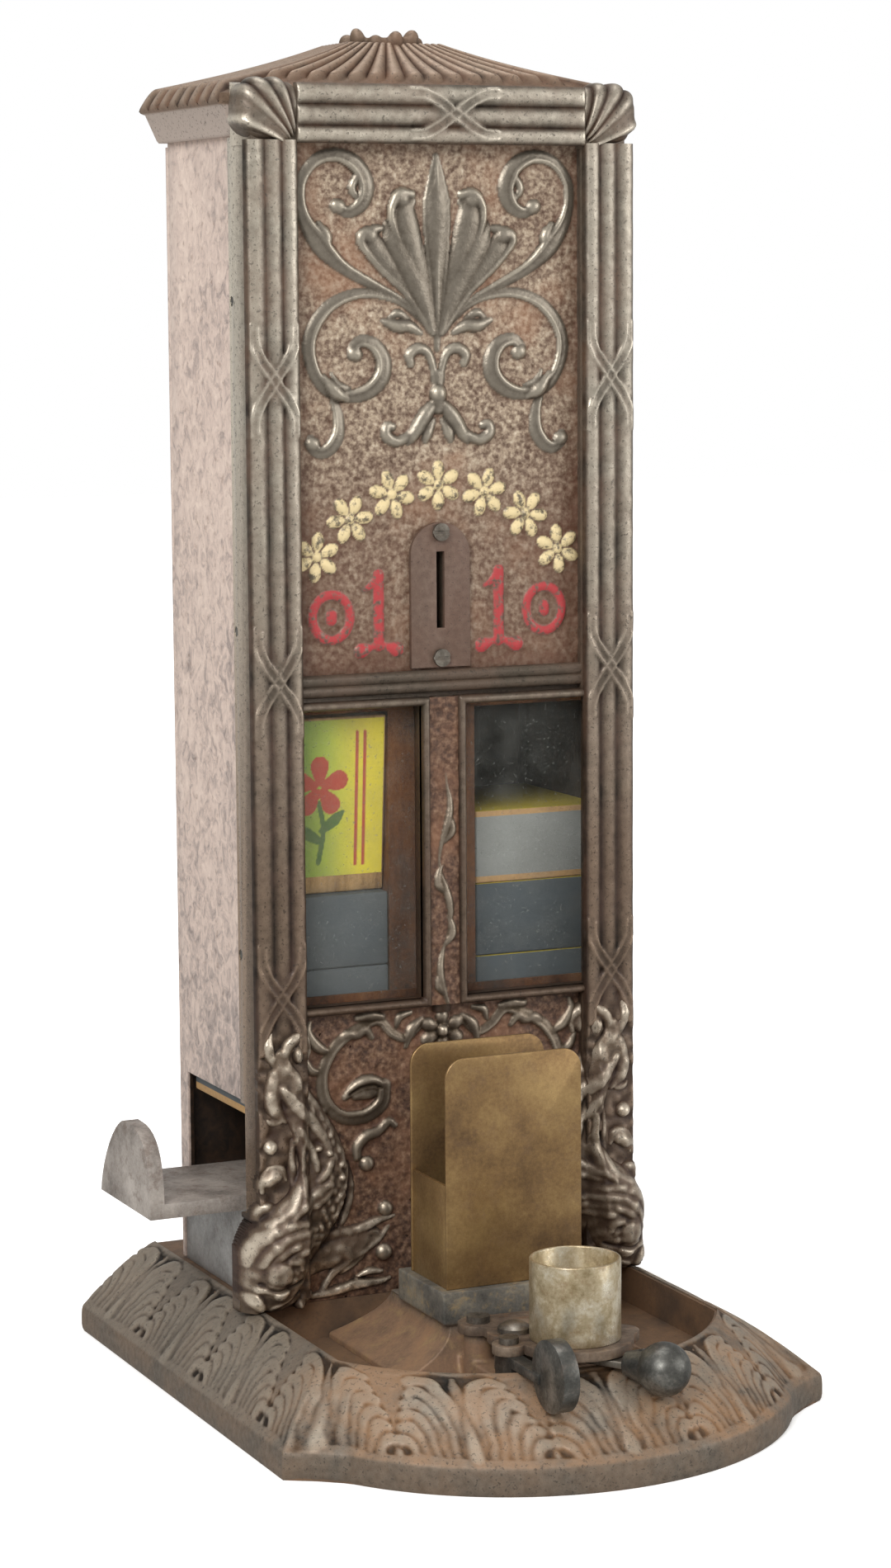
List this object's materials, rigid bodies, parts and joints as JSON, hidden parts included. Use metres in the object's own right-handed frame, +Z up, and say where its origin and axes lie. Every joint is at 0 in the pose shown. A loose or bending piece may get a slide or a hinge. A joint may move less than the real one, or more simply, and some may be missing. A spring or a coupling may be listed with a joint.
{
  "type": "match vending machine",
  "caption": "Counter machine that sells boxed matches: glazed cast-iron tower with two hand slides, coin lock and rear door, on an ash-tray base with box holder and cigar cutter",
  "frame": {"origin": "on the counter, under the middle of the base, on the base's underside", "axes": "+Z up, the front with the windows faces -Y, +X is to the right as seen from the front"},
  "size_m": [0.147, 0.18, 0.3371],
  "materials": {
    "base_iron": "aged brown patina, satin",
    "front_iron": "aged, rubbed to bare metal on the ornament",
    "roof_iron": "aged brown patina, satin",
    "housing_iron": "grey, worn smooth",
    "panel_sheet": "mottled worn paint",
    "slide_iron": "worn, rusty edges",
    "rusty_sheet": "rusty brown",
    "steel": "dull steel",
    "dark_steel": "dark oxidised steel",
    "pane": "dusty window glass",
    "sheet_brass": "aged brass sheet",
    "lock_brass": "brass",
    "nickel_cup": "worn nickel plate",
    "stock_card": "printed card, slate grey",
    "label_card": "printed card, yellow green",
    "pedestal_iron": "rust-dusted casting",
    "table_iron": "orange-brown rust"
  },
  "bodies": {
    "machine": {"base_tray": "base_iron", "base_bolts": "dark_steel", "slide_housing": "housing_iron", "slide_stop_pins": "steel", "front_casting": "front_iron", "left_panel": "panel_sheet", "right_panel": "panel_sheet", "panel_rivets": "dark_steel", "roof": "roof_iron", "roof_crown": "roof_iron", "roof_screws": "dark_steel", "left_glass": "pane", "right_glass": "pane", "glass_retainers": "rusty_sheet", "coin_plate": "front_iron", "coin_plate_screws": "steel", "stack_divider": "rusty_sheet", "divider_screws": "dark_steel", "coin_chute": "rusty_sheet", "latch_pin": "steel", "cash_box": "rusty_sheet", "left_stack": "stock_card", "left_label_box": "label_card", "right_stack": "stock_card", "door_hinges": "dark_steel", "hinge_pins": "steel", "holder_pedestal": "pedestal_iron", "pedestal_screws": "dark_steel", "holder_front_plate": "sheet_brass", "holder_rear_plate": "sheet_brass", "holder_cradle": "sheet_brass", "holder_screws": "lock_brass", "cutter_table": "table_iron", "table_screws": "steel", "cutter_cup": "nickel_cup", "pivot_screw": "steel", "cutter_spring": "steel", "finger_rest": "dark_steel", "rest_screw": "steel"},
    "left_slide": {"left_slide": "slide_iron"},
    "right_slide": {"right_slide": "slide_iron", "right_pocket_box": "stock_card"},
    "cutter": {"cutter_blade": "steel", "cutter_lever": "dark_steel", "grip_pin": "steel"},
    "coin_latch": {"coin_latch": "steel"},
    "door": {"rear_door": "panel_sheet", "lock_barrel": "lock_brass"},
    "lock": {"lock_plug": "lock_brass", "lock_cam": "steel"}
  },
  "joints": [
    {"name": "left_slide_run", "type": "slide", "parent": "machine", "child": "left_slide", "axis": [-1, 0, 0], "range_m": [-0.0215, 0]},
    {"name": "right_slide_run", "type": "slide", "parent": "machine", "child": "right_slide", "axis": [1, 0, 0], "range_m": [0, 0.0215]},
    {"name": "cutter_pivot", "type": "hinge", "parent": "machine", "child": "cutter", "pos_m": [-0.01, -0.045, 0.0232], "axis": [0, 0, -1], "range_deg": [0, 24.5], "stiffness_Nm_per_rad": 0.06, "springref_deg": -11.46},
    {"name": "latch_rock", "type": "hinge", "parent": "machine", "child": "coin_latch", "pos_m": [0, 0.0482, 0.074], "axis": [-1, 0, 0], "range_deg": [0, 12]},
    {"name": "door_swing", "type": "hinge", "parent": "machine", "child": "door", "pos_m": [0.0522, 0.0731, 0.165], "axis": [0, 0, -1], "range_deg": [0, 110]},
    {"name": "lock_turn", "type": "hinge", "parent": "door", "child": "lock", "pos_m": [0, 0.07, 0.2995], "axis": [0, -1, 0], "range_deg": [0, 90]}
  ]
}
